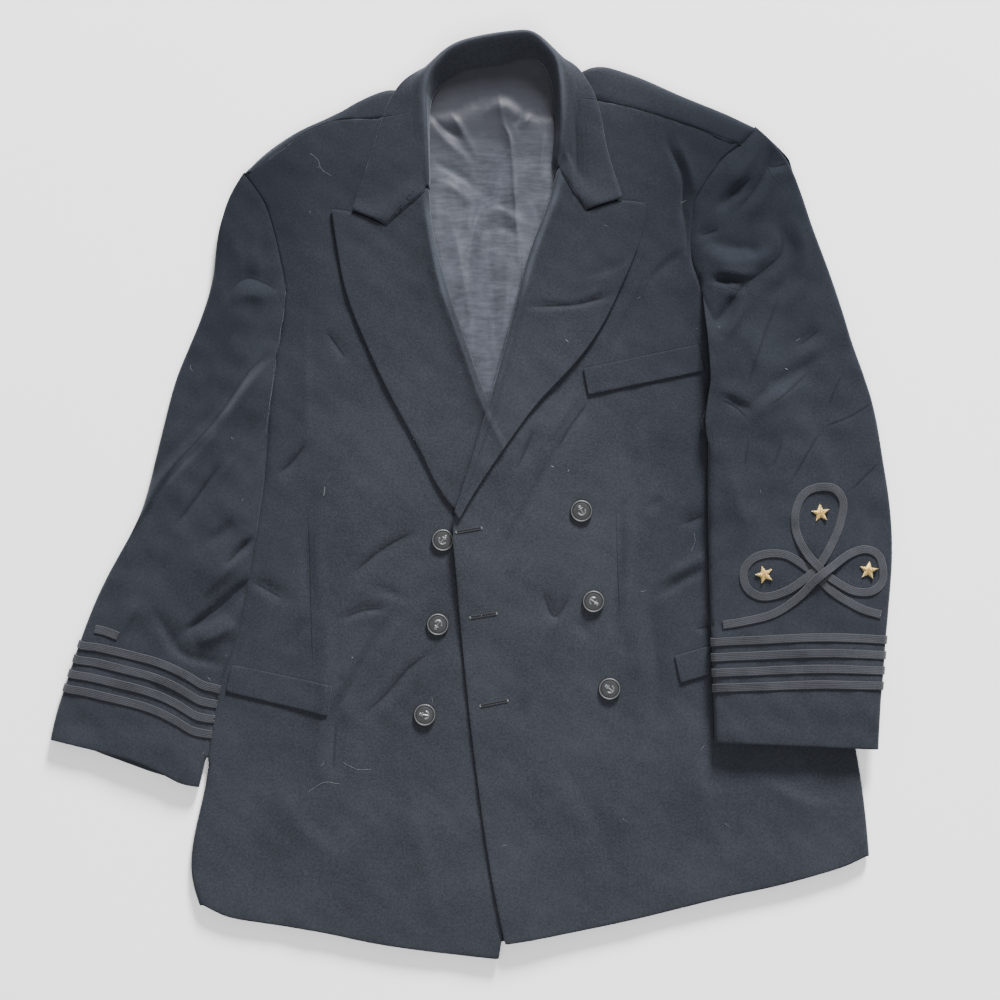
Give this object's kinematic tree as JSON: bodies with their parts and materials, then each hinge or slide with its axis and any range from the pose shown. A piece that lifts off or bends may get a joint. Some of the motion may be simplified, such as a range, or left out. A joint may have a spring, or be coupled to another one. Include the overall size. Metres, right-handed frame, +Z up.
{
  "type": "double-breasted dress jacket",
  "caption": "Double-breasted dress jacket laid flat, left front over right, with peak lapels, braid rings on the cuffs, a looped braid knot with stars on one sleeve and metal buttons.",
  "frame": {"origin": "middle of the part's outline in plan, on the surface that it lies on", "axes": "+X towards the wearer's left, +Y from the hem towards the collar, +Z up from the surface, out of the front"},
  "size_m": [0.7569, 0.8329, 0.0271],
  "materials": {
    "wool": "dark navy-black wool, dull, with a slight nap",
    "lining_satin": "grey satin lining with a soft sheen",
    "braid": "flat corded braid, a little lighter than the wool",
    "gold_thread": "gold embroidery thread over padding",
    "button_metal": "worn grey metal with dark recesses"
  },
  "bodies": {
    "root": {"back": "wool", "back_lining": "lining_satin", "braid_end_right": "braid", "braid_knot": "braid", "braid_left_1": "braid", "braid_left_2": "braid", "braid_left_3": "braid", "braid_left_4": "braid", "braid_right_1": "braid", "braid_right_2": "braid", "braid_right_3": "braid", "braid_right_4": "braid", "breast_welt": "wool", "button_left_1": "button_metal", "button_left_2": "button_metal", "button_left_3": "button_metal", "button_right_1": "button_metal", "button_right_2": "button_metal", "button_right_3": "button_metal", "collar": "wool", "front_left": "wool", "front_right": "wool", "hip_welt_left": "wool", "hip_welt_right": "wool", "lapel_left": "wool", "lapel_right": "wool", "sleeve_left_top": "wool", "sleeve_left_under": "wool", "sleeve_right_top": "wool", "sleeve_right_under": "wool", "star_left": "gold_thread", "star_right": "gold_thread", "star_top": "gold_thread"}
  },
  "joints": []
}
